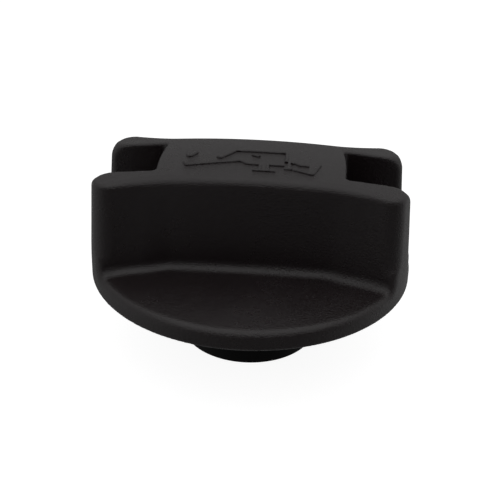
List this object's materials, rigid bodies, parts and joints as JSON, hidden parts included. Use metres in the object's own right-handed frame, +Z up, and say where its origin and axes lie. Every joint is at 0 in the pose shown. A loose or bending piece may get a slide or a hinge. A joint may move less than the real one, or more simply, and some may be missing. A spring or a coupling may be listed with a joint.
{
  "type": "oil filler cap",
  "caption": "Round screw-on filler cap with a twin-walled finger grip, a bayonet plug below and a rubber seal ring.",
  "frame": {"origin": "on the cap's axis, in the plane of the seal's lower face", "axes": "+Z up out of the filler neck along the cap's axis, +X along the grip, +Y across it towards the side that the symbol reads from"},
  "size_m": [0.07, 0.07, 0.0424],
  "materials": {
    "head_plastic": "satin black moulding with a fine grain",
    "plug_plastic": "plain black moulding",
    "seal_rubber": "smooth black rubber"
  },
  "bodies": {
    "root": {"cap_head": "head_plastic", "locking_plug": "plug_plastic", "seal_ring": "seal_rubber"}
  },
  "joints": []
}
